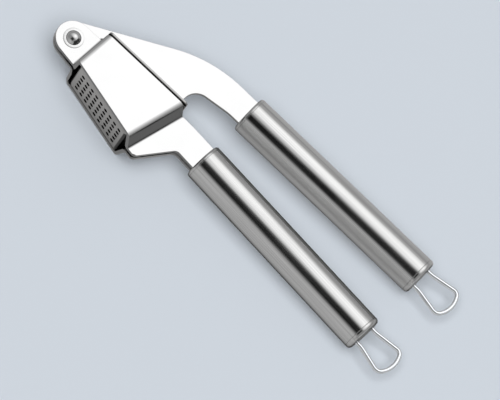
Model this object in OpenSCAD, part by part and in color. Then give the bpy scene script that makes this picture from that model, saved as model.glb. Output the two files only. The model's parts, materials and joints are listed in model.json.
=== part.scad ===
// Garlic press of stainless steel, closed, lying on one side of its hopper.
//
// The design is drawn about its pivot: the pivot's axis is Z, z = 0 is the middle plane of the
// press, +X runs along the lower handle and +Y points to the upper handle. placed() then moves
// it to the part's own frame, whose origin is under the middle of the bounding box, on the
// plane that the hopper's rear side lies on.

/* [Handles] */
// Outside diameter of both handle tubes
grip_d = 15; // [13:0.5:18]
// Length of each handle tube
grip_len = 83.4; // [55:0.1:110]
// Wall of the handle tubes
grip_wall = 1; // [0.7:0.1:1.5]
// Distance from the hopper's far fold to the front of the lower handle, along X
lower_neck = 19.3; // [16:0.1:30]
// Height of the lower handle's axis above the pivot
lower_grip_y = 5.2; // [3:0.1:7]
// Distance from the hopper's far fold to the front of the upper handle, along X
upper_neck = 17.5; // [15:0.1:28]
// Height of the upper handle's axis above the pivot, at its front
upper_grip_y = 31; // [29:0.1:40]
// Angle between the two handles when the press is closed
upper_grip_angle = 3.7; // [0:0.1:6]
// Width of the tangs that carry the handles
tang_w = 11; // [9:0.1:11.4]
// Length of a tang inside its handle
tang_depth = 22; // [16:0.5:30]
// Thickness of the collar that shows at the front of a handle
collar_t = 1.3; // [1.3:0.1:3]
// Radius of the collar's front edge
collar_round = 1.1; // [0.3:0.1:1.2]
// Length of the collar's and the end cap's spigots inside the tube
spigot_len = 5; // [3:0.5:7]
// Thickness of the cap that closes the back of a handle
cap_t = 2; // [1.7:0.1:4]
// Radius of the cap's back edge
cap_round = 1.5; // [0.3:0.1:1.6]
// Diameter of the pins that hold a tang in its handle
pin_d = 3; // [2:0.1:4]

/* [Hanging loops] */
// Diameter of the wire of the hanging loops
wire_d = 1.6; // [1.2:0.1:2.2]
// Length of a loop from the end cap to the middle of the wire at its tip
loop_len = 15.3; // [12:0.1:25]
// Distance between the legs of a loop where they leave the end cap
loop_neck = 8; // [6:0.1:9]
// Greatest width of a loop, between wire centres
loop_w = 11.5; // [10:0.1:13]
// Bend radius of a loop's two corners
loop_corner_r = 2.6; // [2:0.1:4]
// Radius of the bowed tip of a loop
loop_tip_r = 9; // [8.6:0.1:14]

/* [Hopper frame] */
// Thickness of the frame's sheet
sheet_t = 1.5; // [1:0.1:2]
// Width of the hopper over its two side plates
hopper_w = 23; // [20:0.5:30]
// Distance from the pivot to the fold where an ear rises to the hopper's side
near_fold_x = 7.5; // [7:0.1:10]
// Distance from the pivot to the far fold of the hopper, at the mouth
far_x = 44.7; // [36:0.1:60]
// Lean of the far fold away from the handle, from the mouth down
far_lean = 10.2; // [6:0.1:14]
// Height of the mouth above the pivot, at the near end
mouth_y = 7.6; // [6:0.1:10]
// Slope of the mouth's edge
mouth_slope = 4.2; // [2:0.1:6]
// Depth of the sieve below the pivot, at the near end
sieve_y = 8.5; // [7:0.1:12]
// Slope of the sieve
sieve_slope = 9.5; // [6:0.1:12]
// Inside radius of the sheet's bends
bend_r = 0.8; // [0.5:0.1:1.2]
// Radius of the ears about the pivot
ear_r = 6.7; // [5:0.1:7.2]

/* [Sieve cup] */
// Wall of the cup
cup_wall = 0.8; // [0.5:0.1:1.2]
// Thickness of the perforated bottom
sieve_t = 0.6; // [0.5:0.1:1.5]
// Thickness of the rim that lies on the hopper's mouth
rim_t = 1.4; // [1:0.1:1.8]
// Height of the groove that sets the rim off from the mouth's edge
rim_groove_h = 0.35; // [0.1:0.05:0.5]
// Corner radius of the cup
cup_round = 1.6; // [1:0.1:3]
// Radius of the edges round the perforated bottom
cup_edge_r = 1.5; // [0.5:0.1:2]
// Diameter of the sieve's holes
hole_d = 1.7; // [1.2:0.1:2]
// Distance between the sieve's holes, both ways
hole_pitch = 2.9; // [2.6:0.1:4]

/* [Upper arm and plunger] */
// Thickness of the upper arm's plate
arm_t = 1.5; // [1:0.1:2.5]
// Slope of the arm's top edge from the pivot
arm_slope = 34; // [30:0.5:38]
// Radius that blends the arm's top edge into its tang
arm_blend_r = 53; // [30:1:60]
// Thickness of the pressing foot
foot_t = 1.6; // [1.2:0.1:3]
// Gap between the pressing foot and the sieve when the press is closed
foot_gap = 0.6; // [0.3:0.1:1.5]
// Height of the frame that stiffens the foot
stiffener_h = 7; // [4:0.5:9]
// Wall of the foot's stiffening frame
stiffener_t = 1.2; // [0.8:0.1:2]

/* [Pivot] */
// Diameter of the pivot rivet's shank
rivet_d = 4; // [3:0.1:5]
// Diameter of the rivet's domed heads
rivet_head_d = 5.8; // [5:0.1:7.5]
// Height of the rivet's domed heads
rivet_head_h = 2; // [1:0.1:2.5]
// Diameter of the washers under the heads
washer_d = 7.8; // [7.6:0.1:10]
// Thickness of the washers under the heads
washer_t = 0.2; // [0.2:0.1:0.8]
// Outside diameter of the bush that the arm turns on
bush_d = 6; // [5.4:0.1:7]

/* [Hidden] */
$fn = 96;

// Clearances
running_gap = 0.05; // a shaft in its bore, on the radius
fixed_gap = 0.02; // a pin, wire or spigot in a piece that it is fixed to, on the radius
side_gap = 0.1; // between the arm and each ear
cup_near_gap = 0.7; // between the near bend and the cup
cup_far_gap = 0.5; // between the far fold and the cup
cup_side_gap = 0.2; // between a side plate and the cup
plunger_gap = 0.4; // between the plunger and the cup's walls
rim_gap = 0.5; // between the arm's lower edge and the cup's rim

// Levels of the sheet in the front half of the frame
ear_low = arm_t / 2 + side_gap;
ear_high = ear_low + sheet_t;
side_high = hopper_w / 2;
side_low = side_high - sheet_t;
bend_out = bend_r + sheet_t;
near_step = 0.5; // run of the near bend between its two folds
far_step = 2.2; // run of the far bend between its two folds
far_set = 0.6; // from the far line to the first fold of the far bend
cup_w = 2 * (side_low - cup_side_gap);
rim_groove_depth = 0.7 * sheet_t;
layer_t = 0.02; // thickness of the layers that the cup's shape is stretched over

// Drawing helpers: lines are [point, angle], and outlines are lists of [x, y, corner radius]
chord_error = 0.01;
function unit(v) = v / norm(v);
function along(line, d) = line[0] + d * [cos(line[1]), sin(line[1])];
function shift(line, d) = [line[0] + d * [-sin(line[1]), cos(line[1])], line[1]];
function heading(line) = [cos(line[1]), sin(line[1])];
function meet(a, b) = along(a, cross(b[0] - a[0], heading(b)) / cross(heading(a), heading(b)));
function corner(p, r) = [p[0], p[1], r];
function flat(p) = [p[0], p[1]];
function arc_steps(r, turn) = ceil(abs(turn) / (2 * acos(1 - min(0.5, chord_error / r))));
function arc(centre, r, from, turn) = [
    for (i = [0:arc_steps(r, turn)])
        let (a = from + turn * i / arc_steps(r, turn))
        centre + r * [cos(a), sin(a)]
];
function rounded_corner(before, at, after, r) =
    let (
        back = unit(before - at),
        ahead = unit(after - at),
        half = acos(back * ahead) / 2,
        centre = at + unit(back + ahead) * r / sin(half),
        start = at + back * r / tan(half) - centre,
        turn = (180 - 2 * half) * sign(cross(ahead, back))
    )
    arc(centre, r, atan2(start[1], start[0]), turn);
function distinct(p) = [
    for (i = [0:len(p) - 1]) if (norm(p[i] - p[(i + 1) % len(p)]) > chord_error) p[i]
];
function rounded(c) = distinct([
    for (i = [0:len(c) - 1])
        let (n = len(c), before = flat(c[(i + n - 1) % n]), at = flat(c[i]), after = flat(c[(i + 1) % n]))
        each (c[i][2] > 0 ? rounded_corner(before, at, after, c[i][2]) : [at])
]);

// Lines of the hopper in the plan
near_x = near_fold_x + near_step + sheet_t;
mouth_line = [[near_x, mouth_y], mouth_slope];
sieve_line = [[near_x, -sieve_y], -sieve_slope];
far_line = [meet(mouth_line, [[far_x, 0], 90]), 90 - far_lean];
cup_near_line = [[near_x + cup_near_gap, 0], 90];
cup_far_line = shift(far_line, cup_far_gap);
rim_line = shift(mouth_line, rim_t);
under_line = shift(rim_line, rim_gap);

// Handles: each has its own frame, with its origin on the axis at the front of its collar
lower_grip_x = far_x + lower_neck;
upper_grip_x = far_x + upper_neck;
lower_axis = [[lower_grip_x, lower_grip_y], 0];
upper_axis = [[upper_grip_x, upper_grip_y], upper_grip_angle];
grip_r = grip_d / 2;
bore_r = grip_r - grip_wall;
tube_end = collar_t + grip_len;
grip_end = tube_end + cap_t;
block_x = collar_t + spigot_len;
block_len = tang_depth - block_x;
pin_places = [block_x + block_len * 0.28, block_x + block_len * 0.72];
pin_len = 2 * bore_r - 2.5;

// Loop: the centres of its bends and the angles where they meet
tip_centre_x = loop_len - loop_tip_r;
corner_y = loop_w / 2 - loop_corner_r;
tip_turn = asin(corner_y / (loop_tip_r - loop_corner_r));
corner_centre = [tip_centre_x + (loop_tip_r - loop_corner_r) * cos(tip_turn), corner_y];
neck_r = 10;
neck_centre = [1.5, loop_neck / 2 + neck_r];
neck_to_corner = corner_centre - neck_centre;
flare = atan2(neck_to_corner[1], neck_to_corner[0])
    + asin((neck_r + loop_corner_r) / norm(neck_to_corner));

wire_sides = 16;
function mirrored(path) = [for (i = [len(path) - 1:-1:0]) [path[i][0], -path[i][1]]];
loop_half = concat(
    [[-cap_t - spigot_len, loop_neck / 2]],
    arc(neck_centre, neck_r, -90, flare),
    arc(corner_centre, loop_corner_r, 90 + flare, tip_turn - 90 - flare),
    [for (p = arc([tip_centre_x, 0], loop_tip_r, tip_turn, -tip_turn)) if (p[1] < corner_y) p]
);
loop_path = distinct(concat(loop_half, mirrored(loop_half)));

// Plan of the frame's plates
ear_slope_low = 4;
mouth_at_fold = meet(mouth_line, [[near_fold_x, 0], 90]);
ear_slope_high = atan2(mouth_at_fold[1], mouth_at_fold[0]) - asin(ear_r / norm(mouth_at_fold));
function ear_edge(slope, x) = (ear_r + sin(slope) * x) / cos(slope);
lower_tang_low = shift(lower_axis, -tang_w / 2);
lower_tang_high = shift(lower_axis, tang_w / 2);
far_bottom = meet(far_line, sieve_line);
web_reach = [6.4, -0.5];
web_slope = 57.5;
web_corner = far_bottom + web_reach;
web_line = [web_corner, web_slope];
far_run = far_set + far_step + bend_r;
plate_plan = rounded([
    corner([-ear_r, -ear_edge(ear_slope_low, -ear_r)], ear_r),
    corner([near_fold_x, -ear_edge(ear_slope_low, near_fold_x)], 0.8),
    corner([near_x, -sieve_y], 0.8),
    corner(far_bottom, 4),
    corner(web_corner, 2),
    corner(meet(web_line, lower_tang_low), 2.5),
    corner(along(lower_tang_low, tang_depth), 0),
    corner(along(lower_tang_high, tang_depth), 0),
    corner([far_x + far_run + 5, lower_tang_high[0][1]], 8),
    corner(meet(mouth_line, [[far_x + far_run, 0], 90]), 8),
    corner(mouth_at_fold, 0.8),
    corner([-ear_r, ear_edge(ear_slope_high, -ear_r)], ear_r),
]);

// Sections across the two bends, under the sheet's outer and inner side: [distance, height, radius]
far_end = 2 * (lower_grip_x + tang_depth);
near_rise = atan2(side_high - ear_high, near_step);
far_rise = atan2(side_high - ear_high, far_step);
near_set_in = sheet_t * tan(near_rise / 2);
far_set_in = sheet_t * tan(far_rise / 2);
near_section_out = rounded([
    [-far_end, 0, 0],
    [far_end, 0, 0],
    [far_end, side_high, 0],
    [near_fold_x + near_step, side_high, bend_out],
    [near_fold_x, ear_high, bend_r],
    [-far_end, ear_high, 0],
]);
near_section_in = rounded([
    [-far_end, -1, 0],
    [far_end, -1, 0],
    [far_end, side_low, 0],
    [near_fold_x + near_step + near_set_in, side_low, bend_r],
    [near_fold_x + near_set_in, ear_low, bend_out],
    [-far_end, ear_low, 0],
]);
far_section_out = rounded([
    [-far_end, 0, 0],
    [far_end, 0, 0],
    [far_end, ear_high, 0],
    [far_set + far_step, ear_high, bend_r],
    [far_set, side_high, bend_out],
    [-far_end, side_high, 0],
]);
far_section_in = rounded([
    [-far_end, -1, 0],
    [far_end, -1, 0],
    [far_end, ear_low, 0],
    [far_set + far_step - far_set_in, ear_low, bend_out],
    [far_set - far_set_in, side_low, bend_r],
    [-far_end, side_low, 0],
]);

// Sieve frame: s runs along the sieve from the near end, n runs from the sieve into the cup
function sieve_s(p) = (p - sieve_line[0]) * heading(sieve_line);
function sieve_n(p) = cross(heading(sieve_line), p - sieve_line[0]);
function sieve_point(s, n) = along(shift(sieve_line, n), s);
pivot_s = sieve_s([0, 0]);
pivot_n = sieve_n([0, 0]);
function swing_s(r, n) = pivot_s + sqrt(r * r - pow(n - pivot_n, 2));

// The plunger is as long as its swing about the pivot allows between the cup's end walls
near_swing = norm(meet([cup_near_line[0] + [cup_wall + plunger_gap, 0], 90], rim_line));
far_swing = abs(cross(heading(far_line), far_line[0])) - cup_far_gap - cup_wall - plunger_gap;
foot_low = sieve_t + foot_gap;
foot_high = foot_low + foot_t;
foot_near = swing_s(near_swing, foot_high);
foot_far = swing_s(far_swing, foot_low);
foot_w = cup_w - 2 * cup_wall - 2 * plunger_gap;
stiffener_inset = 1.3;
stiffener_near = foot_near + stiffener_inset;
stiffener_far = foot_far - stiffener_inset;
stiffener_w = foot_w - 2 * stiffener_inset;
tongue_near = stiffener_near + stiffener_t;
tongue_far = stiffener_far - stiffener_t;
tenon_len = 5;
tenon_places = [tongue_near + 2, tongue_far - 2 - tenon_len];

// Plan of the upper arm
arm_ear_r = ear_r - 0.3;
arm_edge = ear_r + 0.5;
arm_top_line = [arm_edge * [-sin(arm_slope), cos(arm_slope)], arm_slope];
upper_tang_low = shift(upper_axis, -tang_w / 2);
upper_tang_high = shift(upper_axis, tang_w / 2);
arch_back = along(upper_tang_low, -5);
arch_corner = [far_x - 1.8, upper_tang_low[0][1] - 3.5];
under_far = meet(under_line, [[far_x - 2.3, 0], 88]);
tongue_near_line = [sieve_point(tongue_near, 0), 90 - sieve_slope];
tongue_far_line = [sieve_point(tongue_far, 0), 90 - sieve_slope];
arm_plan = rounded([
    corner([-arm_ear_r, -arm_ear_r], arm_ear_r),
    corner([arm_ear_r, -arm_ear_r], arm_ear_r),
    corner(meet(under_line, [[arm_ear_r, 0], 90]), 2),
    corner(meet(under_line, tongue_near_line), 1.5),
    corner(sieve_point(tongue_near, foot_high), 0),
    corner(sieve_point(tongue_far, foot_high), 0),
    corner(meet(under_line, tongue_far_line), 1.5),
    corner(under_far, 1),
    corner(arch_corner, 6),
    corner(arch_back, 20),
    corner(along(upper_tang_low, tang_depth), 0),
    corner(along(upper_tang_high, tang_depth), 0),
    corner(meet(arm_top_line, upper_tang_high), arm_blend_r),
    corner(meet(arm_top_line, [[-arm_ear_r, 0], 90]), arm_ear_r),
]);

// Bounding box of the plan, for the part's own origin
x_low = -ear_r;
x_high = lower_grip_x + grip_end + loop_len + wire_d / 2;
y_low = min([for (p = plate_plan) p[1]]);
upper_rim = along(shift(upper_axis, grip_r), tube_end)[1];
upper_loop = along(shift(upper_axis, corner_y), grip_end + corner_centre[0])[1]
    + loop_corner_r + wire_d / 2;
y_high = max(upper_rim, upper_loop);

module placed() {
    translate([-(x_low + x_high) / 2, -(y_low + y_high) / 2, hopper_w / 2])
        children();
}

module at_line(line) {
    translate([line[0][0], line[0][1], 0])
        rotate([0, 0, line[1]])
            children();
}

// A cylinder along X
module rod(r, x, len) {
    translate([x, 0, 0])
        rotate([0, 90, 0])
            cylinder(r = r, h = len);
}

// A cylinder along Z, centred on the middle plane
module cross_hole(x, y, r, len) {
    translate([x, y, 0])
        cylinder(r = r, h = len, center = true);
}

// A plate of the given plan, centred on the middle plane
module plate(plan, t) {
    linear_extrude(height = t, center = true)
        polygon(plan);
}

module pin_holes(r) {
    for (x = pin_places)
        cross_hole(x, 0, r, hopper_w);
}

// ---- Frame ----

// Everything under a section, right across the hopper
module under_section(section) {
    rotate([90, 0, 0])
        linear_extrude(height = 4 * hopper_w, center = true)
            polygon(section);
}

module under_far_section(section) {
    at_line([far_line[0], -far_lean])
        under_section(section);
}

// The front plate: an ear at the pivot, the hopper's side, and a tang for the lower handle
module frame_plate() {
    difference() {
        intersection() {
            linear_extrude(height = hopper_w)
                polygon(plate_plan);
            under_section(near_section_out);
            under_far_section(far_section_out);
        }
        intersection() {
            under_section(near_section_in);
            under_far_section(far_section_in);
        }
        cross_hole(0, 0, rivet_d / 2 + fixed_gap, 3 * hopper_w);
        at_line(lower_axis)
            pin_holes(pin_d / 2 + fixed_gap);
    }
}

module frame_plate_front() {
    color("gainsboro")
        placed()
            frame_plate();
}

module frame_plate_rear() {
    color("silver")
        placed()
            mirror([0, 0, 1])
                frame_plate();
}

// Fills the gap between the two tangs, from behind the hopper to the end of the tangs
module tang_filler() {
    filler_x = far_x + far_run + 6 - lower_grip_x;
    color("darkgray")
        placed()
            at_line(lower_axis)
                difference() {
                    translate([filler_x, -tang_w / 2 + 0.5, -ear_low])
                        cube([tang_depth - filler_x, tang_w - 1, 2 * ear_low]);
                    pin_holes(pin_d / 2 + fixed_gap);
                }
}

// ---- Sieve cup ----

// A thin rounded plate on a line of the hopper, from the near to the far end, as wide as w
module end_slab(line, near, far, w, r, t) {
    length = norm(meet(line, far) - meet(line, near));
    at_line([meet(line, near), line[1]])
        rotate([90, 0, 0])
            linear_extrude(height = t, center = true)
                polygon(rounded([
                    [0, -w / 2, r],
                    [length, -w / 2, r],
                    [length, w / 2, r],
                    [0, w / 2, r],
                ]));
}

// A thin layer of the cup on a line of the hopper, moved in by inset all round
module cup_layer(line, inset) {
    near = shift(cup_near_line, -inset);
    far = shift(cup_far_line, inset);
    end_slab(line, near, far, cup_w - 2 * inset, cup_round - inset, layer_t);
}

// The space from a bottom line with rounded edges to a top line, inside the cup's outside moved
// in by inset
module cup_space(bottom, top, inset) {
    edge_r = max(0, cup_edge_r - inset);
    hull() {
        for (a = [0:15:90])
            cup_layer(
                shift(bottom, edge_r * (1 - cos(a)) + layer_t / 2),
                inset + edge_r * (1 - sin(a))
            );
        cup_layer(shift(top, -layer_t / 2), inset);
    }
}

module cup_rim() {
    near = shift(cup_near_line, cup_near_gap + sheet_t);
    far = shift(cup_far_line, -cup_far_gap - sheet_t);
    end_slab(shift(mouth_line, rim_t / 2), near, far, hopper_w, cup_round, rim_t);
}

// A groove along each side, under the rim's edge
module rim_grooves() {
    depth = 2 * rim_groove_depth;
    at_line(mouth_line)
        for (side = [-1, 1])
            translate([0, rim_groove_h / 2 - 0.5, side * hopper_w / 2])
                cube([3 * far_x, rim_groove_h + 1, depth], center = true);
}

// As many holes as fit the bottom, centred on it
module sieve_holes() {
    edge = cup_wall + 2;
    near = sieve_s(meet(sieve_line, cup_near_line));
    far = sieve_s(meet(sieve_line, cup_far_line));
    columns = 1 + floor((far - near - 2 * edge) / hole_pitch);
    rows = 1 + floor((cup_w - 2 * edge) / hole_pitch);
    at_line(sieve_line)
        for (i = [0:columns - 1], j = [0:rows - 1])
            translate([
                (near + far) / 2 + (i - (columns - 1) / 2) * hole_pitch,
                -1,
                (j - (rows - 1) / 2) * hole_pitch,
            ])
                rotate([-90, 0, 0])
                    cylinder(d = hole_d, h = sieve_t + 2, $fn = 24);
}

module sieve_cup() {
    color("lightgray")
        placed()
            difference() {
                union() {
                    cup_space(sieve_line, shift(mouth_line, rim_t / 2), 0);
                    cup_rim();
                }
                cup_space(shift(sieve_line, sieve_t), shift(rim_line, 1), cup_wall);
                rim_grooves();
                sieve_holes();
            }
}

// ---- Pivot ----

module rivet_head() {
    dome_r = (pow(rivet_head_d / 2, 2) + pow(rivet_head_h, 2)) / (2 * rivet_head_h);
    intersection() {
        translate([0, 0, rivet_head_h - dome_r])
            sphere(r = dome_r);
        cylinder(r = rivet_head_d, h = 2 * rivet_head_h);
    }
}

module pivot_rivet() {
    head_z = ear_high + washer_t;
    color("darkgray")
        placed() {
            cylinder(d = rivet_d, h = 2 * head_z, center = true);
            translate([0, 0, head_z])
                rivet_head();
            mirror([0, 0, 1])
                translate([0, 0, head_z])
                    rivet_head();
        }
}

module pivot_bush() {
    color("gray")
        placed()
            difference() {
                cylinder(d = bush_d, h = 2 * ear_low, center = true);
                cylinder(r = rivet_d / 2 + fixed_gap, h = 4 * ear_low, center = true);
            }
}

module rivet_washer() {
    difference() {
        translate([0, 0, ear_high])
            cylinder(d = washer_d, h = washer_t);
        cylinder(r = rivet_d / 2 + fixed_gap, h = hopper_w);
    }
}

module rivet_washer_front() {
    color("silver")
        placed()
            rivet_washer();
}

module rivet_washer_rear() {
    color("silver")
        placed()
            mirror([0, 0, 1])
                rivet_washer();
}

// ---- Upper arm and plunger ----

module tenons(gap) {
    at_line(sieve_line)
        for (s = tenon_places)
            translate([s - gap, foot_low, -arm_t / 2 - gap])
                cube([tenon_len + 2 * gap, foot_t + 0.1, arm_t + 2 * gap]);
}

module arm_plate() {
    color("whitesmoke")
        placed()
            difference() {
                union() {
                    plate(arm_plan, arm_t);
                    tenons(0);
                }
                cross_hole(0, 0, bush_d / 2 + running_gap, hopper_w);
                at_line(upper_axis)
                    pin_holes(pin_d / 2 + fixed_gap);
            }
}

// A rounded rectangle in the sieve frame, s by z, from level low to level high
module foot_block(near, far, w, r, low, high) {
    at_line(sieve_line)
        translate([0, high, 0])
            rotate([90, 0, 0])
                linear_extrude(height = high - low)
                    polygon(rounded([
                        [near, -w / 2, r],
                        [far, -w / 2, r],
                        [far, w / 2, r],
                        [near, w / 2, r],
                    ]));
}

module plunger_foot() {
    color("lightgray")
        placed()
            difference() {
                foot_block(foot_near, foot_far, foot_w, cup_round, foot_low, foot_high);
                tenon_slots();
            }
}

module tenon_slots() {
    at_line(sieve_line)
        for (s = tenon_places)
            translate([s - fixed_gap, foot_low - 1, -arm_t / 2 - fixed_gap])
                cube([tenon_len + 2 * fixed_gap, foot_t + 2, arm_t + 2 * fixed_gap]);
}

module plunger_stiffener() {
    high = foot_high + stiffener_h;
    color("silver")
        placed()
            difference() {
                foot_block(stiffener_near, stiffener_far, stiffener_w, 1.5, foot_high, high);
                foot_block(
                    tongue_near, tongue_far, stiffener_w - 2 * stiffener_t, 0.3,
                    foot_high - 1, high + 1
                );
            }
}

// ---- Handles ----

// A disc with a rounded back edge and a spigot in front, standing on the end of a tube at x = 0
module end_plug(t, edge_r) {
    rotate([0, 90, 0])
        rotate_extrude()
            union() {
                translate([0, -spigot_len])
                    square([bore_r - fixed_gap, spigot_len + t / 2]);
                square([grip_r - edge_r, t]);
                square([grip_r, t - edge_r]);
                intersection() {
                    translate([grip_r - edge_r, t - edge_r])
                        circle(r = edge_r);
                    square([grip_r, t]);
                }
            }
}

// Closes the front of a tube around a tang that is stack thick
module collar(stack) {
    color("lightgray")
        difference() {
            translate([collar_t, 0, 0])
                mirror([1, 0, 0])
                    end_plug(collar_t, collar_round);
            tang_slot(stack);
        }
}

module tang_slot(stack) {
    translate([-1, -tang_w / 2 - fixed_gap, -stack / 2 - fixed_gap])
        cube([tang_depth + 2, tang_w + 2 * fixed_gap, stack + 2 * fixed_gap]);
}

module tube() {
    color("silver")
        difference() {
            rod(grip_r, collar_t, grip_len);
            rod(bore_r, collar_t - 1, grip_len + 2);
        }
}

// Holds the tang inside the tube, with two cross pins
module tang_block(stack) {
    color("darkgray")
        difference() {
            rod(bore_r - fixed_gap, block_x, block_len);
            tang_slot(stack);
            pin_holes(pin_d / 2 + fixed_gap);
        }
}

module tang_pins() {
    color("gray")
        for (x = pin_places)
            cross_hole(x, 0, pin_d / 2, pin_len);
}

// Closes the back of a tube, with two holes for the legs of the loop
module end_cap() {
    color("silver")
        difference() {
            translate([tube_end, 0, 0])
                end_plug(cap_t, cap_round);
            for (side = [-1, 1])
                translate([0, side * loop_neck / 2, 0])
                    rod(wire_d / 2 + fixed_gap, tube_end - spigot_len - 1, spigot_len + cap_t + 2);
        }
}

// One bent wire: two legs that leave the cap in line with the handle, then flare to the tip
module hanging_loop() {
    color("white")
        translate([grip_end, 0, 0])
            wire(loop_path);
}

// A wire along a path in the middle plane, as rings of points joined by flat sides
module wire(path) {
    last = len(path) - 1;
    points = [
        for (i = [0:last], j = [0:wire_sides - 1])
            let (
                step = unit(path[min(i + 1, last)] - path[max(i - 1, 0)]),
                out = wire_d / 2 * cos(360 * j / wire_sides)
            )
            [path[i][0] - out * step[1], path[i][1] + out * step[0],
                wire_d / 2 * sin(360 * j / wire_sides)]
    ];
    sides = [
        for (i = [0:last - 1], j = [0:wire_sides - 1])
            let (a = i * wire_sides, b = a + wire_sides, k = (j + 1) % wire_sides)
            [a + j, b + j, b + k, a + k]
    ];
    first_end = [for (j = [0:wire_sides - 1]) j];
    last_end = [for (j = [wire_sides - 1:-1:0]) last * wire_sides + j];
    polyhedron(points, concat([first_end], sides, [last_end]), convexity = 4);
}

module on_lower_handle() {
    placed()
        at_line(lower_axis)
            children();
}

module on_upper_handle() {
    placed()
        at_line(upper_axis)
            children();
}

module lower_collar() {
    on_lower_handle()
        collar(2 * ear_high);
}

module lower_tube() {
    on_lower_handle()
        tube();
}

module lower_tang_block() {
    on_lower_handle()
        tang_block(2 * ear_high);
}

module lower_tang_pins() {
    on_lower_handle()
        tang_pins();
}

module lower_end_cap() {
    on_lower_handle()
        end_cap();
}

module lower_hanging_loop() {
    on_lower_handle()
        hanging_loop();
}

module upper_collar() {
    on_upper_handle()
        collar(arm_t);
}

module upper_tube() {
    on_upper_handle()
        tube();
}

module upper_tang_block() {
    on_upper_handle()
        tang_block(arm_t);
}

module upper_tang_pins() {
    on_upper_handle()
        tang_pins();
}

module upper_end_cap() {
    on_upper_handle()
        end_cap();
}

module upper_hanging_loop() {
    on_upper_handle()
        hanging_loop();
}

frame_plate_front();
frame_plate_rear();
tang_filler();
sieve_cup();
lower_collar();
lower_tube();
lower_tang_block();
lower_tang_pins();
lower_end_cap();
lower_hanging_loop();
pivot_rivet();
pivot_bush();
rivet_washer_front();
rivet_washer_rear();
arm_plate();
plunger_foot();
plunger_stiffener();
upper_collar();
upper_tube();
upper_tang_block();
upper_tang_pins();
upper_end_cap();
upper_hanging_loop();
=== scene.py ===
"""Garlic press of stainless steel, closed and lying on its side: looks, floor, light and camera."""

import json
import math

import bmesh
import bpy
from mathutils import Matrix, Vector

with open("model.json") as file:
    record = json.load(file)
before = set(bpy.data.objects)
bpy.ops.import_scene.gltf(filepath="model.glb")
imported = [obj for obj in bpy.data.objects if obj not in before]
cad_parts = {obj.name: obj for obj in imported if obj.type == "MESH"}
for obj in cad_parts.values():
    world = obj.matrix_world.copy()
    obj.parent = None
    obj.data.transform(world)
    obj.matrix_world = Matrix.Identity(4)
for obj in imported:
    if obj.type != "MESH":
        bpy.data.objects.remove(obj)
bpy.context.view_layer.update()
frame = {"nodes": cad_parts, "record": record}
nodes = frame["nodes"]
slot_of = {row["node"]: row["material_slot"] for row in frame["record"]["subparts"]}
MM = 0.001


# ---------------------------------------------------------------- shader steps


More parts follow.
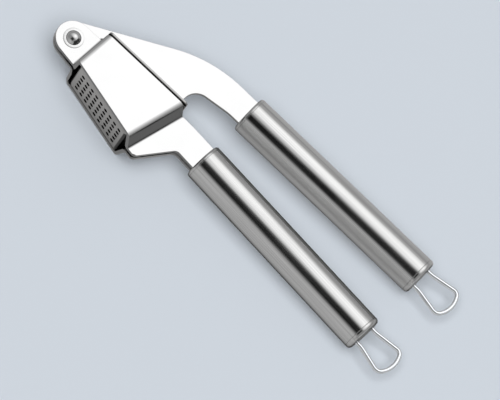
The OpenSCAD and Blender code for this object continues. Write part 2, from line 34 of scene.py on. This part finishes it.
class Graph:
    """Adds shader nodes one after the other, so a material reads as a list of steps."""

    def __init__(self, tree):
        self.tree = tree
        self.tree.nodes.clear()

    def add(self, kind, **settings):
        node = self.tree.nodes.new(kind)
        for key, value in settings.items():
            setattr(node, key, value)
        return node

    def link(self, out, socket):
        self.tree.links.new(out, socket)

    def feed(self, socket, value):
        """Gives a socket a number or a colour, or the result of another step."""
        if isinstance(value, (int, float, tuple)):
            socket.default_value = value
        else:
            self.link(value, socket)

    def math(self, operation, *values, clamp=False):
        node = self.add("ShaderNodeMath", operation=operation, use_clamp=clamp)
        for socket, value in zip(node.inputs, values):
            self.feed(socket, value)
        return node.outputs[0]

    def absolute(self, value):
        return self.math("ABSOLUTE", value)

    def product(self, first, *others):
        for other in others:
            first = self.math("MULTIPLY", first, other)
        return first

    def outside(self, mask):
        return self.math("SUBTRACT", 1.0, mask)

    def spread(self, value, low, high, to_low, to_high):
        """Takes low to high, in a straight line, to to_low to to_high, and holds both ends."""
        node = self.add("ShaderNodeMapRange", clamp=True)
        for socket, number in zip(list(node.inputs)[1:5], (low, high, to_low, to_high)):
            socket.default_value = number
        self.link(value, node.inputs[0])
        return node.outputs[0]

    def mask(self, value, off, on):
        """0 up to the value off, 1 from the value on; on may be the lower of the two."""
        return self.spread(value, off, on, 0.0, 1.0)

    def tone(self, mask, level):
        """A factor for a tint: the level where the mask is 1, and no change where it is 0."""
        return self.spread(mask, 0.0, 1.0, 1.0, level)

    def ramp(self, value, stops):
        node = self.add("ShaderNodeValToRGB")
        ramp = node.color_ramp
        while len(ramp.elements) > 1:
            ramp.elements.remove(ramp.elements[-1])
        ramp.elements[0].position = stops[0][0]
        ramp.elements[0].color = colour(stops[0][1])
        for position, level in stops[1:]:
            ramp.elements.new(position).color = colour(level)
        self.link(value, node.inputs[0])
        return node.outputs[0]

    def noise(self, vector, scale, detail=2.0, roughness=0.5):
        node = self.add("ShaderNodeTexNoise")
        node.inputs["Scale"].default_value = scale
        node.inputs["Detail"].default_value = detail
        node.inputs["Roughness"].default_value = roughness
        self.link(vector, node.inputs["Vector"])
        return node.outputs["Fac"]

    def scaled(self, tint, level):
        """A colour times a number from another step."""
        node = self.add("ShaderNodeVectorMath", operation="SCALE")
        self.link(tint, node.inputs[0])
        self.link(level, node.inputs["Scale"])
        return node.outputs[0]

    def mix(self, factor, first, second, blend="MIX"):
        node = self.add("ShaderNodeMix", data_type="RGBA", blend_type=blend)
        for name, value in (("Factor", factor), ("A", first), ("B", second)):
            self.feed(node.inputs[name], value)
        return node.outputs["Result"]

    def split(self, vector):
        node = self.add("ShaderNodeSeparateXYZ")
        self.link(vector, node.inputs[0])
        return node.outputs

    def facing(self):
        """X, Y and Z of the direction that the surface faces, in the piece's own axes."""
        return self.split(self.add("ShaderNodeTexCoord").outputs["Normal"])

    def distance(self, where, point, angle):
        """Distance in mm of a place from a line in the plan, positive to the left of the line."""
        node = self.add("ShaderNodeVectorMath", operation="DOT_PRODUCT")
        self.link(where, node.inputs[0])
        across = Vector((-math.sin(angle), math.cos(angle), 0.0)) / MM
        node.inputs[1].default_value = across
        return self.math("SUBTRACT", node.outputs["Value"], across.dot(point))

    def bump(self, height, depth):
        node = self.add("ShaderNodeBump")
        node.inputs["Strength"].default_value = 1.0
        node.inputs["Distance"].default_value = depth
        self.link(height, node.inputs["Height"])
        return node.outputs["Normal"]

    def shader(self, kind, tint, strength=None):
        node = self.add(kind)
        self.feed(node.inputs["Color"], tint)
        if strength is not None:
            node.inputs["Strength"].default_value = strength
        return node.outputs[0]

    def choose(self, condition, otherwise, chosen):
        """One shader where the condition is 1, the other where it is 0."""
        node = self.add("ShaderNodeMixShader")
        for socket, out in zip(node.inputs, (condition, otherwise, chosen)):
            self.link(out, socket)
        return node.outputs[0]


def colour(level):
    if isinstance(level, (int, float)):
        level = (level, level, level)
    return (*level, 1.0)


def toned(level, tone):
    return tuple(level * channel for channel in tone)


# ---------------------------------------------------------------- steel

# Ground steel: hairs and wider bands along the grain, and slow wear. Scales are per metre
GROUND_HAIR = dict(scale=5200.0, detail=3.0, roughness=0.6)
GROUND_BAND = dict(scale=1625.0)
GROUND_WEAR = dict(scale=60.0, detail=3.0)
HAIR_SHARE, BAND_SHARE = 0.45, 0.55
GRAIN_LOW, GRAIN_HIGH = 0.3, 0.7
GROUND_RELIEF = 0.6e-6

# Polished steel: fine scratches, clouds of wear and smudges
POLISH_HAIR = dict(scale=3600.0, detail=3.0, roughness=0.65)
POLISH_WEAR = dict(scale=45.0, detail=4.0, roughness=0.6)
POLISH_SMUDGE = dict(scale=170.0, detail=3.0)
POLISH_STRETCH = 40.0
CLOUD_LOW, CLOUD_HIGH, CLOUD_TONE = 0.35, 0.65, 0.965
POLISH_RELIEF = 0.15e-6

# A range of a noise's value, then what it adds to the roughness at its two ends
GROUND_WEAR_ROUGHENS = (0.35, 0.7, -0.02, 0.03)
SCRATCHES_ROUGHEN = (0.35, 0.75, 0.0, 0.05)
SMUDGES_ROUGHEN = (0.56, 0.74, 0.0, 0.05)

# Tones and roughness of marked places
CUT_TONE = 0.36
CUT_ROUGHNESS = 0.38
# Painted shade on the pressed steps
STEP_SHADE_TONE = 0.13
FACING_SIDE_ROUGHNESS = 0.22
# On the upper tube's outer side the painted dark outline is left out
LIGHT_OUTLINE_TINT = 0.9


def new_steel(name, grain_angle, stretch):
    """An empty steel material, with a place on the piece and the same place along the grain.

    Both are in metres. The second is turned by grain_angle about Z and squeezed along X.
    """
    material = bpy.data.materials.new(name)
    material.use_nodes = True
    graph = Graph(material.node_tree)
    shader = graph.add("ShaderNodeBsdfPrincipled")
    graph.link(shader.outputs[0], graph.add("ShaderNodeOutputMaterial").inputs["Surface"])
    where = graph.add("ShaderNodeTexCoord").outputs["Object"]
    turn = graph.add("ShaderNodeMapping", vector_type="POINT")
    turn.inputs["Rotation"].default_value = (0.0, 0.0, -grain_angle)
    graph.link(where, turn.inputs["Vector"])
    squeeze = graph.add("ShaderNodeMapping", vector_type="POINT")
    squeeze.inputs["Scale"].default_value = (1.0 / stretch, 1.0, 1.0)
    graph.link(turn.outputs[0], squeeze.inputs["Vector"])
    return material, graph, shader, where, squeeze.outputs[0]


def set_steel(graph, shader, tint, rough, relief, depth, edge_tint):
    """Sets a steel's shader; edge_tint is how light it stays where it is seen at a slant, and one
    below 1 paints a dark outline: painted shade.
    """
    graph.link(tint, shader.inputs["Base Color"])
    graph.link(rough, shader.inputs["Roughness"])
    graph.link(graph.bump(relief, depth), shader.inputs["Normal"])
    shader.inputs["Metallic"].default_value = 1.0
    shader.inputs["Specular Tint"].default_value = colour(edge_tint)


def ground_steel(name, base, tone, grain_angle, roughness, stretch=90.0, streak=0.05,
                 edge_tint=1.0, shade=None, sides=None):
    """Steel ground in one direction: streaks in tone, roughness and relief along the grain.

    shade may paint shade on places: it takes the graph and the object coordinates, and gives a
    factor.
    sides may mark a rougher side and a side where the painted dark outline is left out: it takes
    the graph.
    """
    material, graph, shader, where, grain = new_steel(name, grain_angle, stretch)
    hair = graph.noise(grain, **GROUND_HAIR)
    band = graph.noise(grain, **GROUND_BAND)
    wear = graph.noise(where, **GROUND_WEAR)
    mixed = graph.math("ADD", graph.product(hair, HAIR_SHARE), graph.product(band, BAND_SHARE))
    tint = graph.ramp(mixed, [
        (GRAIN_LOW, toned(base * (1.0 - streak), tone)),
        (GRAIN_HIGH, toned(base * (1.0 + streak), tone)),
    ])
    if shade is not None:
        tint = graph.scaled(tint, shade(graph, where))
    rough = graph.spread(mixed, GRAIN_LOW, GRAIN_HIGH, *roughness)
    rough = graph.math("ADD", rough, graph.spread(wear, *GROUND_WEAR_ROUGHENS), clamp=True)
    if sides is not None:
        rougher, lighter = sides(graph)
        rougher = graph.product(rougher, FACING_SIDE_ROUGHNESS)
        rough = graph.math("ADD", rough, rougher, clamp=True)
        # The painted dark outline, left out on the lighter side
        outline = graph.ramp(lighter, [(0.0, edge_tint), (1.0, LIGHT_OUTLINE_TINT)])
        graph.link(outline, shader.inputs["Specular Tint"])
    set_steel(graph, shader, tint, rough, hair, GROUND_RELIEF, edge_tint)
    return material


def polished_steel(name, base, tone, roughness, scratch_angle=0.0, edge_tint=1.0, sawn_and_step_shade=None):
    """Near-mirror steel with faint polishing lines, clouds of wear and a few finger smudges.

    The last argument may mark duller sawn edges and painted shade on the pressed steps: it takes
    the graph, and gives a mask for the sawn edges and one for the pressed steps, or None where
    there are no steps.
    """
    material, graph, shader, where, grain = new_steel(name, scratch_angle, POLISH_STRETCH)
    hair = graph.noise(grain, **POLISH_HAIR)
    wear = graph.noise(where, **POLISH_WEAR)
    smudge = graph.noise(where, **POLISH_SMUDGE)
    tint = graph.ramp(wear, [
        (CLOUD_LOW, toned(base * CLOUD_TONE, tone)),
        (CLOUD_HIGH, toned(base, tone)),
    ])
    rough = graph.spread(wear, GRAIN_LOW, GRAIN_HIGH, *roughness)
    rough = graph.math("ADD", rough, graph.spread(hair, *SCRATCHES_ROUGHEN))
    rough = graph.math("ADD", rough, graph.spread(smudge, *SMUDGES_ROUGHEN), clamp=True)
    if sawn_and_step_shade is not None:
        sawn, pressed = sawn_and_step_shade(graph)
        # Sawn edges duller, and painted shade on the pressed steps
        dull_edges_and_step_shade = graph.tone(sawn, CUT_TONE)
        if pressed is not None:
            dull_edges_and_step_shade = graph.product(dull_edges_and_step_shade, graph.tone(pressed, STEP_SHADE_TONE))
        tint = graph.scaled(tint, dull_edges_and_step_shade)
        rough = graph.math("MAXIMUM", rough, graph.product(sawn, CUT_ROUGHNESS))
    set_steel(graph, shader, tint, rough, hair, POLISH_RELIEF, edge_tint)
    return material


# ---------------------------------------------------------------- marked places

# How far a surface has to face along an axis: where a mask starts, and where it is full
BENT_SAWN_Y = (0.3, 0.6)
BENT_STEP_Z = (0.75, 0.45)
FLAT_SAWN_Z = (0.9, 0.6)
UPPER_FACING_Y = (-0.62, -0.80)
UPPER_OUTER_Y = (0.3, 0.6)

# The cup in the plan, from the part's drawing: lines along the sieve's outside and the mouth
SIEVE_START = Vector((-70.55, -23.436, 0.0)) * MM
SIEVE_ANGLE = math.radians(-9.5)
SIEVE_END_X = -39.5 * MM
MOUTH_START = Vector((-70.55, -7.336, 0.0)) * MM
MOUTH_ANGLE = math.radians(4.2)
HALF_HEIGHT = 11.5 * MM

# Painted shade in the field of holes: over the sieve's line in mm, off the middle height, and along
# X
HOLES_SKIN, HOLES_DEPTH = (0.02, 0.06), (1.5, 1.4)
HOLES_HEIGHT = (8.3 * MM, 8.2 * MM)
HOLES_START = (SIEVE_START.x + 1.9 * MM, SIEVE_START.x + 2.1 * MM)
HOLES_END = (SIEVE_END_X, SIEVE_END_X - 0.2 * MM)

# Painted shade in the crevice under the rim: over the mouth's line in mm, and off the middle height
CREVICE_START, CREVICE_END = (0.02, 0.05), (0.95, 0.50)
CREVICE_HEIGHT = (10.0 * MM, 10.1 * MM)

# Painted shade on the sieve, darker downwards and along X: over its line in mm, then by how much it
# darkens down in Z and along X
SIEVE_SHADE_DEPTH = (2.0, 1.0)
SIEVE_SHADE_DOWN = (17 * MM, 3 * MM, 0.0, 0.30)
SIEVE_SHADE_ALONG = (SIEVE_START.x, SIEVE_END_X, 0.0, 0.18)
CUP_DARKEST = 0.03


def bent_sheet_edge(graph):
    """Marks a frame plate's sawn edges, which face along Y, and its steps, which face along X and
    get painted shade.
    """
    _, y, z = graph.facing()
    sawn = graph.mask(graph.absolute(y), *BENT_SAWN_Y)
    step = graph.mask(graph.absolute(z), *BENT_STEP_Z)
    return sawn, graph.product(step, graph.outside(sawn))


def flat_sheet_edge(graph):
    """Marks a flat plate's sawn edges, which face away from Z. It has no steps."""
    return graph.mask(graph.absolute(graph.facing()[2]), *FLAT_SAWN_Z), None


def upper_tube_sides(graph):
    """Marks the side of the upper tube that faces the other handle, and the opposite side, where
    its painted dark outline is left out.
    """
    y = graph.facing()[1]
    return graph.mask(y, *UPPER_FACING_Y), graph.mask(y, *UPPER_OUTER_Y)


def cup_shade(graph, where):
    """Painted shade in the sieve's holes and under the rim, and on the sieve, darker downwards and
    along X.
    """
    x, _, z = graph.split(where)
    off_middle = graph.absolute(graph.math("SUBTRACT", z, HALF_HEIGHT))
    over_sieve = graph.distance(where, SIEVE_START, SIEVE_ANGLE)
    over_mouth = graph.distance(where, MOUTH_START, MOUTH_ANGLE)
    # Painted shade in the holes
    holes = graph.product(
        graph.mask(over_sieve, *HOLES_SKIN),
        graph.mask(over_sieve, *HOLES_DEPTH),
        graph.mask(off_middle, *HOLES_HEIGHT),
        graph.mask(x, *HOLES_START),
        graph.mask(x, *HOLES_END),
    )
    # Painted shade in the crevice under the rim
    crevice = graph.product(
        graph.mask(over_mouth, *CREVICE_START),
        graph.mask(over_mouth, *CREVICE_END),
        graph.mask(off_middle, *CREVICE_HEIGHT),
    )
    # Painted shade on the sieve, darker downwards and along X
    sieve_shade = graph.product(
        graph.mask(over_sieve, *SIEVE_SHADE_DEPTH),
        graph.math("ADD", graph.spread(z, *SIEVE_SHADE_DOWN), graph.spread(x, *SIEVE_SHADE_ALONG)),
    )
    bright = graph.product(
        graph.outside(graph.math("MAXIMUM", holes, crevice)), graph.outside(sieve_shade))
    return graph.math("MAXIMUM", CUP_DARKEST, bright)


# ---------------------------------------------------------------- looks

NEUTRAL = (1.0, 1.0, 1.0)
WARM = (1.0, 0.99, 0.975)
COOL = (0.94, 0.97, 1.0)
UPPER_ANGLE = math.radians(3.7)  # the upper handle's angle in the plan

# An edge_tint below 1 paints a dark outline on the tubes, the wires and the rivet: painted shade
tube_look = dict(
    base=0.60, tone=(1.0, 1.0, 0.995), roughness=(0.13, 0.21), streak=0.15, edge_tint=0.05)
sheet_look = dict(base=0.695, tone=NEUTRAL, roughness=(0.06, 0.12), scratch_angle=0.4)
looks = {
    "satin_tube": ground_steel("satin_tube_lower", grain_angle=0.0, **tube_look),
    "satin_tube_upper": ground_steel(
        "satin_tube_upper", grain_angle=UPPER_ANGLE, sides=upper_tube_sides, **tube_look),
    "polished_sheet": polished_steel("polished_sheet", sawn_and_step_shade=bent_sheet_edge, **sheet_look),
    "polished_sheet_flat": polished_steel("polished_flat", sawn_and_step_shade=flat_sheet_edge, **sheet_look),
    "cup_steel": ground_steel(
        "cup_steel", base=0.47, tone=WARM, grain_angle=SIEVE_ANGLE, roughness=(0.32, 0.40),
        stretch=14.0, shade=cup_shade),
    "polished_wire": polished_steel("polished_wire", 0.97, COOL, (0.14, 0.2), edge_tint=0.3),
    "polished_rivet": polished_steel(
        "polished_rivet", 0.66, NEUTRAL, (0.10, 0.16), edge_tint=0.3),
    "inner_steel": ground_steel(
        "inner_steel", base=0.5, tone=WARM, grain_angle=0.0, roughness=(0.3, 0.42), stretch=6.0),
}


def look_of(name):
    """The look of a node's material slot, with its own variants for the upper tube and the arm."""
    look = slot_of[name]
    if look == "satin_tube" and name.startswith("upper"):
        look = "satin_tube_upper"
    if name == "arm_plate":
        look = "polished_sheet_flat"
    return looks[look]


# ---------------------------------------------------------------- CAD nodes: edges and finish

WELD_DISTANCE = 1e-6
SHARP_ANGLE = math.radians(32)
FACE_WEIGHT = 60

# Width in mm of a node's eased edges, where it isn't EASED_EDGE
EASED_EDGE = 0.14
FINER_EDGES = {
    "sieve_cup": 0.10,
    "plunger_foot": 0.10,
    "plunger_stiffener": 0.10,
    "rivet_washer_front": 0.08,
    "rivet_washer_rear": 0.08,
    "lower_tube": 0.10,
    "upper_tube": 0.10,
}


def finish_node(name, edge):
    """Gives a CAD node its finish, joins its faces and eases its sharp edges by edge metres."""
    obj = nodes[name]
    mesh = obj.data
    for slot in obj.material_slots:
        slot.material = look_of(name)
    with bpy.context.temp_override(object=obj, active_object=obj, selected_objects=[obj]):
        if mesh.has_custom_normals:
            bpy.ops.mesh.customdata_custom_splitnormals_clear()
    mesh.polygons.foreach_set("use_smooth", [True] * len(mesh.polygons))
    mesh.edges.foreach_set("use_edge_sharp", [False] * len(mesh.edges))
    mesh.update()
    weld = obj.modifiers.new("join", "WELD")
    weld.merge_threshold = WELD_DISTANCE
    bevel = obj.modifiers.new("eased_edges", "BEVEL")
    bevel.width = edge
    bevel.segments = 2
    bevel.limit_method = "ANGLE"
    bevel.angle_limit = SHARP_ANGLE
    bevel.use_clamp_overlap = False
    bevel.miter_outer = "MITER_ARC"
    normals = obj.modifiers.new("weighted_normals", "WEIGHTED_NORMAL")
    normals.keep_sharp = True
    normals.weight = FACE_WEIGHT


for node_name in nodes:
    finish_node(node_name, FINER_EDGES.get(node_name, EASED_EDGE) * MM)


# ---------------------------------------------------------------- floor

# The paper meets the hopper's side at CONTACT_X and rises from there towards the handles' ends
CONTACT_X = -0.0354
CONTACT_SLOPE = 0.0386
FLOOR_DROP = 0.02 * MM
PAPER_RADIUS = 30.0
PAPER_CORNERS = 96

PAPER = (0.610, 0.658, 0.716)
PAPER_ALBEDO = 0.80
MIRRORED_PAPER = 0.56


def backdrop():
    """A wide round sheet of matt paper, touching the hopper's side and the lower handle's end.

    What the steel mirrors of it is evenly lit and grey.
    """
    mesh = bpy.data.meshes.new("floor")
    build = bmesh.new()
    bmesh.ops.create_circle(build, cap_ends=True, radius=PAPER_RADIUS, segments=PAPER_CORNERS)
    build.to_mesh(mesh)
    build.free()
    obj = bpy.data.objects.new("floor", mesh)
    bpy.context.scene.collection.objects.link(obj)
    tilt = Matrix.Rotation(-math.atan(CONTACT_SLOPE), 4, "Y")
    obj.matrix_world = Matrix.Translation((CONTACT_X, 0, -FLOOR_DROP)) @ tilt
    material = bpy.data.materials.new("paper")
    material.use_nodes = True
    graph = Graph(material.node_tree)
    albedo = [PAPER_ALBEDO * channel / max(PAPER) for channel in PAPER]
    paper = graph.choose(
        graph.add("ShaderNodeLightPath").outputs["Is Camera Ray"],
        graph.shader("ShaderNodeEmission", colour(MIRRORED_PAPER)),
        graph.shader("ShaderNodeBsdfDiffuse", colour(albedo)))
    graph.link(paper, graph.add("ShaderNodeOutputMaterial").inputs["Surface"])
    mesh.materials.append(material)


backdrop()


# ---------------------------------------------------------------- light

# Brightness of the studio round the handles' axis, by angle from +Y over the zenith to -Y
STUDIO = [
    (0, 0.42), (20, 0.47), (30, 0.62), (38, 1.05), (46, 1.42), (56, 1.55), (72, 1.45),
    (86, 1.12), (94, 0.70), (100, 0.26), (105, 0.06), (112, 0.012), (131, 0.012),
    (137, 0.10), (143, 0.38), (150, 0.58), (180, 0.60),
]
PEAK = 1.55
# Towards both ends of the X axis the studio goes over to an even light, from CARD_CORE to
# CARD_EDGE, and is nowhere darker than FILL from FILL_FULL on
CARD_CORE, CARD_EDGE = 0.10, 1.02
SIDE_LIGHT = 0.30
FILL, FILL_START, FILL_FULL = 0.34, 0.26, 0.42
AMBIENT = 0.29
KEY_DIRECTION = Vector((0.065, -0.179, 0.982))
KEY_STRENGTH = 1.97
KEY_SPREAD = math.radians(56)


def studio_sky():
    """What the steel mirrors: a soft white card over the handles' side and a dark stripe by it.

    Matt surfaces get an even light instead, and the picture's background has the paper's tone.
    """
    world = bpy.data.worlds.new("studio")
    bpy.context.scene.world = world
    world.use_nodes = True
    graph = Graph(world.node_tree)
    x, y, z = graph.split(graph.add("ShaderNodeTexCoord").outputs["Generated"])
    off_centre = graph.absolute(x)
    share = graph.math("DIVIDE", graph.math("ARCTAN2", z, y), math.pi, clamp=True)
    card = graph.ramp(share, [(angle / 180, level / PEAK) for angle, level in STUDIO])
    inside = graph.spread(off_centre, CARD_CORE, CARD_EDGE, 1.0, 0.0)
    sides = graph.mix(inside, colour(SIDE_LIGHT / PEAK), card)
    fill = graph.spread(off_centre, FILL_START, FILL_FULL, 0.0, FILL / PEAK)
    ray = graph.add("ShaderNodeLightPath").outputs
    lit = graph.choose(
        ray["Is Diffuse Ray"],
        graph.shader("ShaderNodeBackground", graph.mix(1.0, sides, fill, "LIGHTEN"), PEAK),
        graph.shader("ShaderNodeBackground", colour(AMBIENT)))
    whole = graph.choose(
        ray["Is Camera Ray"], lit, graph.shader("ShaderNodeBackground", colour(PAPER)))
    graph.link(whole, graph.add("ShaderNodeOutputWorld").inputs["Surface"])


def key_light():
    """A broad soft light for the paper. The steel mirrors the studio, so it doesn't mirror this."""
    data = bpy.data.lights.new("key", "SUN")
    data.energy = KEY_STRENGTH
    data.angle = KEY_SPREAD
    lamp = bpy.data.objects.new("key", data)
    bpy.context.scene.collection.objects.link(lamp)
    lamp.rotation_mode = "QUATERNION"
    lamp.rotation_quaternion = KEY_DIRECTION.to_track_quat("Z", "Y")
    lamp.visible_glossy = False


studio_sky()
key_light()


# ---------------------------------------------------------------- camera

VIEW_BACK = Vector((0.074, -0.379, 0.922)).normalized()
VIEW_UP = Vector((-0.731, 0.608, 0.309))
LOOK_AT = Vector((6.34, -6.49, 11.5)) * MM
LENS = 1000.0  # long, as the view has almost no perspective
SENSOR = 36.0
CLIP_START, CLIP_END = 0.05, 50.0
WIDTH_SEEN = 181.2 * MM


def add_camera():
    data = bpy.data.cameras.new("camera")
    data.lens = LENS
    data.sensor_width = SENSOR
    data.clip_start = CLIP_START
    data.clip_end = CLIP_END
    camera = bpy.data.objects.new("camera", data)
    bpy.context.scene.collection.objects.link(camera)
    right = VIEW_UP.cross(VIEW_BACK).normalized()
    up = VIEW_BACK.cross(right).normalized()
    place = LOOK_AT + VIEW_BACK * (WIDTH_SEEN * LENS / SENSOR)
    turn = Matrix((right, up, VIEW_BACK)).transposed().to_4x4()
    camera.matrix_world = Matrix.Translation(place) @ turn
    bpy.context.scene.camera = camera


add_camera()

view_settings = bpy.context.scene.view_settings
view_settings.view_transform = "Standard"
view_settings.look = "None"
